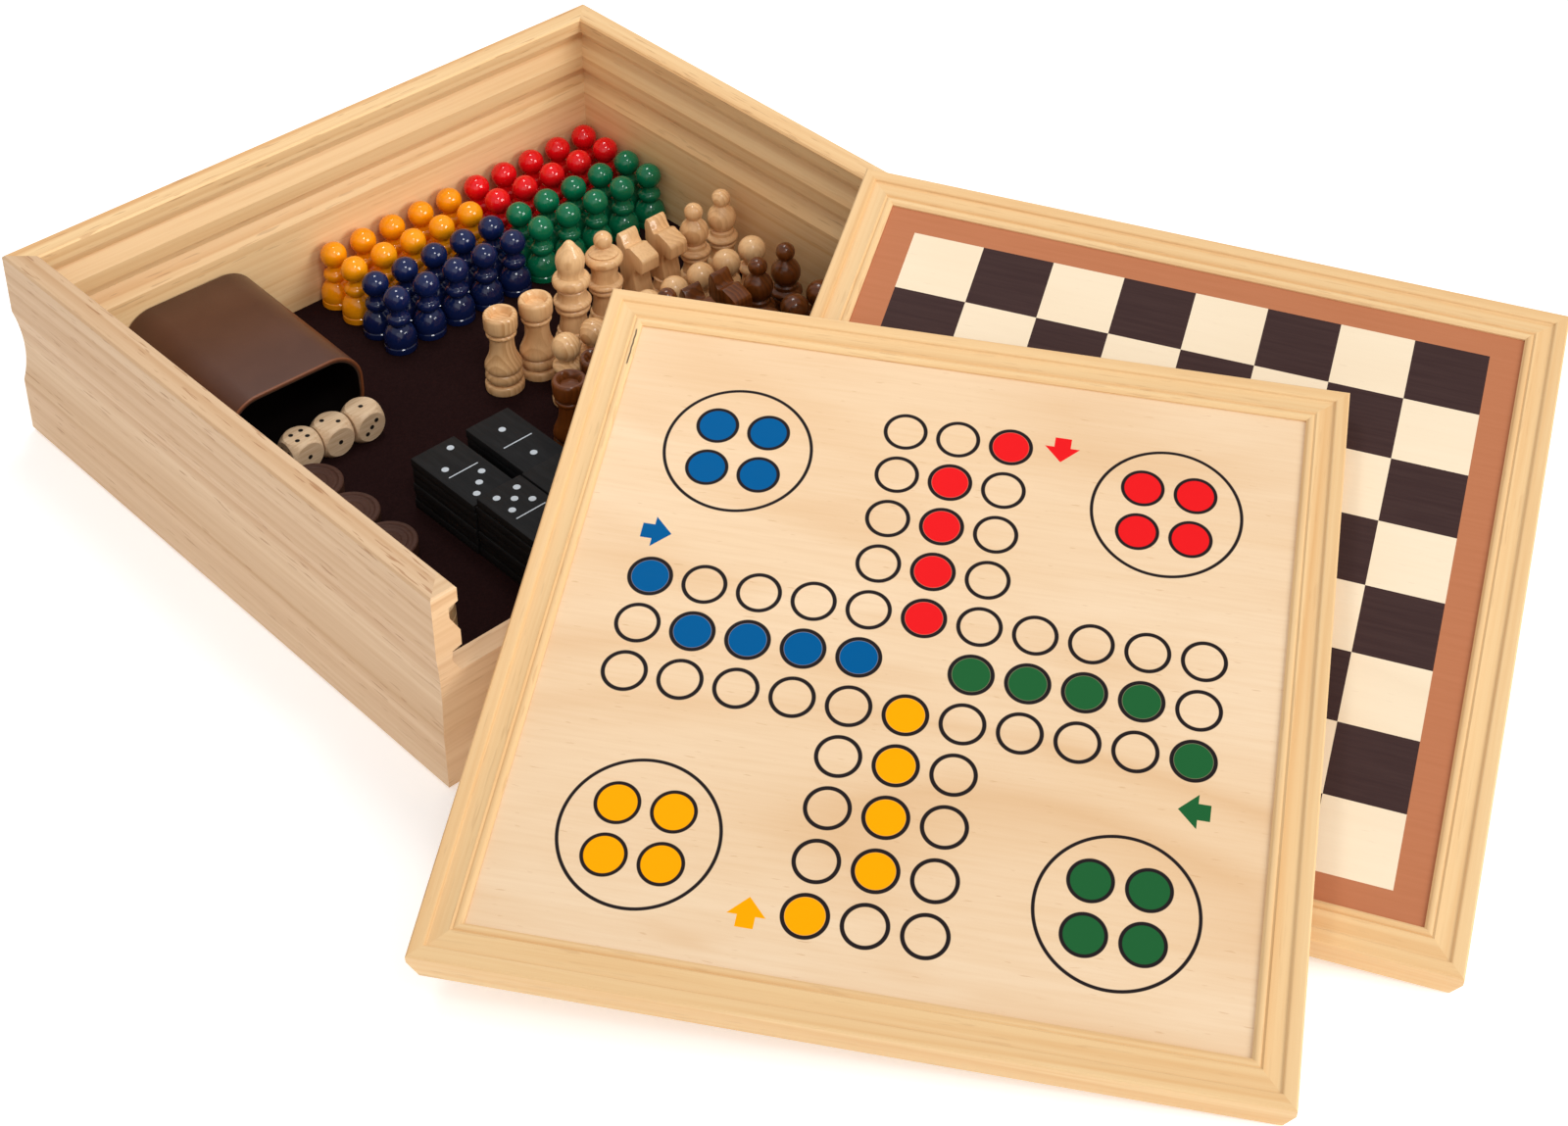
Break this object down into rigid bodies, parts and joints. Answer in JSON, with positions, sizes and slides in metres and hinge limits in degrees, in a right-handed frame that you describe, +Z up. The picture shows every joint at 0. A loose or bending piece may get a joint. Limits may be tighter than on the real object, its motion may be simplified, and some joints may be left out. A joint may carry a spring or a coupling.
{
  "type": "games compendium box",
  "caption": "Open pine games box with two slide-in framed boards leaning on its low front wall, and turned men, dominoes, dice and a dice cup standing on felt inside.",
  "frame": {"origin": "centre of the box's underside, on the table", "axes": "+X to the box's right wall, +Y to its rear wall, +Z up; the low front wall faces -Y"},
  "size_m": [0.4852, 0.5936, 0.1072],
  "materials": {
    "pine": "oiled pine, satin",
    "base_ply": "raw plywood",
    "felt": "black-brown felt",
    "ludo_print": "printed birch plywood, satin lacquer",
    "chess_print": "printed birch plywood, satin lacquer",
    "cup_leather": "satin leatherette",
    "die_wood": "bare beech",
    "red_lacquer": "gloss lacquer on turned wood",
    "orange_lacquer": "gloss lacquer on turned wood",
    "green_lacquer": "gloss lacquer on turned wood",
    "blue_lacquer": "gloss lacquer on turned wood",
    "light_wood": "clear satin lacquer on turned beech",
    "dark_wood": "dark brown stain under gloss lacquer",
    "domino_black": "matt black stain"
  },
  "bodies": {
    "box": {"floor_panel": "base_ply", "felt_liner": "felt", "left_wall": "pine", "right_wall": "pine", "rear_wall": "pine", "front_wall": "pine"},
    "ludo_board": {"ludo_panel": "ludo_print", "ludo_front_bar": "pine", "ludo_rear_bar": "pine", "ludo_left_bar": "pine", "ludo_right_bar": "pine"},
    "chess_board": {"chess_panel": "chess_print", "chess_front_bar": "pine", "chess_rear_bar": "pine", "chess_left_bar": "pine", "chess_right_bar": "pine"},
    "dice_cup_body": {"dice_cup": "cup_leather"},
    "die_left_body": {"die_left": "die_wood"},
    "die_middle_body": {"die_middle": "die_wood"},
    "die_right_body": {"die_right": "die_wood"},
    "halma_red_body": {"halma_red": "red_lacquer"},
    "halma_orange_body": {"halma_orange": "orange_lacquer"},
    "halma_green_body": {"halma_green": "green_lacquer"},
    "halma_blue_body": {"halma_blue": "blue_lacquer"},
    "light_king_body": {"light_king": "light_wood"},
    "light_queen_body": {"light_queen": "light_wood"},
    "light_bishops_body": {"light_bishops": "light_wood"},
    "light_knights_body": {"light_knights": "light_wood"},
    "light_rooks_body": {"light_rooks": "light_wood"},
    "light_pawns_body": {"light_pawns": "light_wood"},
    "dark_king_body": {"dark_king": "dark_wood"},
    "dark_queen_body": {"dark_queen": "dark_wood"},
    "dark_bishops_body": {"dark_bishops": "dark_wood"},
    "dark_knights_body": {"dark_knights": "dark_wood"},
    "dark_rooks_body": {"dark_rooks": "dark_wood"},
    "dark_pawns_body": {"dark_pawns": "dark_wood"},
    "dominoes_rear_left_body": {"dominoes_rear_left": "domino_black"},
    "dominoes_rear_right_body": {"dominoes_rear_right": "domino_black"},
    "dominoes_front_left_body": {"dominoes_front_left": "domino_black"},
    "dominoes_front_right_body": {"dominoes_front_right": "domino_black"},
    "dominoes_loose_body": {"dominoes_loose": "domino_black"},
    "draughts_dark_body": {"draughts_dark": "dark_wood"},
    "draughts_light_body": {"draughts_light": "light_wood"}
  },
  "joints": [
    {"name": "ludo_board_lift", "type": "slide", "parent": "box", "child": "ludo_board", "axis": [0, 0, 1], "range_m": [0, 0.2]},
    {"name": "chess_board_draw", "type": "slide", "parent": "box", "child": "chess_board", "axis": [0.6816, -0.7317, 0], "range_m": [0, 0.04]},
    {"name": "dice_cup_lift", "type": "slide", "parent": "box", "child": "dice_cup_body", "axis": [0, 0, 1], "range_m": [0, 0.09]},
    {"name": "die_left_lift", "type": "slide", "parent": "box", "child": "die_left_body", "axis": [0, 0, 1], "range_m": [0, 0.09]},
    {"name": "die_middle_lift", "type": "slide", "parent": "box", "child": "die_middle_body", "axis": [0, 0, 1], "range_m": [0, 0.09]},
    {"name": "die_right_lift", "type": "slide", "parent": "box", "child": "die_right_body", "axis": [0, 0, 1], "range_m": [0, 0.09]},
    {"name": "halma_red_lift", "type": "slide", "parent": "box", "child": "halma_red_body", "axis": [0, 0, 1], "range_m": [0, 0.09]},
    {"name": "halma_orange_lift", "type": "slide", "parent": "box", "child": "halma_orange_body", "axis": [0, 0, 1], "range_m": [0, 0.09]},
    {"name": "halma_green_lift", "type": "slide", "parent": "box", "child": "halma_green_body", "axis": [0, 0, 1], "range_m": [0, 0.09]},
    {"name": "halma_blue_lift", "type": "slide", "parent": "box", "child": "halma_blue_body", "axis": [0, 0, 1], "range_m": [0, 0.09]},
    {"name": "light_king_lift", "type": "slide", "parent": "box", "child": "light_king_body", "axis": [0, 0, 1], "range_m": [0, 0.09]},
    {"name": "light_queen_lift", "type": "slide", "parent": "box", "child": "light_queen_body", "axis": [0, 0, 1], "range_m": [0, 0.09]},
    {"name": "light_bishops_lift", "type": "slide", "parent": "box", "child": "light_bishops_body", "axis": [0, 0, 1], "range_m": [0, 0.09]},
    {"name": "light_knights_lift", "type": "slide", "parent": "box", "child": "light_knights_body", "axis": [0, 0, 1], "range_m": [0, 0.09]},
    {"name": "light_rooks_lift", "type": "slide", "parent": "box", "child": "light_rooks_body", "axis": [0, 0, 1], "range_m": [0, 0.09]},
    {"name": "light_pawns_lift", "type": "slide", "parent": "box", "child": "light_pawns_body", "axis": [0, 0, 1], "range_m": [0, 0.09]},
    {"name": "dark_king_lift", "type": "slide", "parent": "box", "child": "dark_king_body", "axis": [0, 0, 1], "range_m": [0, 0.09]},
    {"name": "dark_queen_lift", "type": "slide", "parent": "box", "child": "dark_queen_body", "axis": [0, 0, 1], "range_m": [0, 0.09]},
    {"name": "dark_bishops_lift", "type": "slide", "parent": "box", "child": "dark_bishops_body", "axis": [0, 0, 1], "range_m": [0, 0.09]},
    {"name": "dark_knights_lift", "type": "slide", "parent": "box", "child": "dark_knights_body", "axis": [0, 0, 1], "range_m": [0, 0.09]},
    {"name": "dark_rooks_lift", "type": "slide", "parent": "box", "child": "dark_rooks_body", "axis": [0, 0, 1], "range_m": [0, 0.09]},
    {"name": "dark_pawns_lift", "type": "slide", "parent": "box", "child": "dark_pawns_body", "axis": [0, 0, 1], "range_m": [0, 0.09]},
    {"name": "dominoes_rear_left_lift", "type": "slide", "parent": "box", "child": "dominoes_rear_left_body", "axis": [0, 0, 1], "range_m": [0, 0.09]},
    {"name": "dominoes_rear_right_lift", "type": "slide", "parent": "box", "child": "dominoes_rear_right_body", "axis": [0, 0, 1], "range_m": [0, 0.09]},
    {"name": "dominoes_front_left_lift", "type": "slide", "parent": "box", "child": "dominoes_front_left_body", "axis": [0, 0, 1], "range_m": [0, 0.03]},
    {"name": "dominoes_front_right_lift", "type": "slide", "parent": "box", "child": "dominoes_front_right_body", "axis": [0, 0, 1], "range_m": [0, 0.03]},
    {"name": "dominoes_loose_lift", "type": "slide", "parent": "box", "child": "dominoes_loose_body", "axis": [0, 0, 1], "range_m": [0, 0.03]},
    {"name": "draughts_dark_lift", "type": "slide", "parent": "box", "child": "draughts_dark_body", "axis": [0, 0, 1], "range_m": [0, 0.09]},
    {"name": "draughts_light_lift", "type": "slide", "parent": "box", "child": "draughts_light_body", "axis": [0, 0, 1], "range_m": [0, 0.09]}
  ]
}
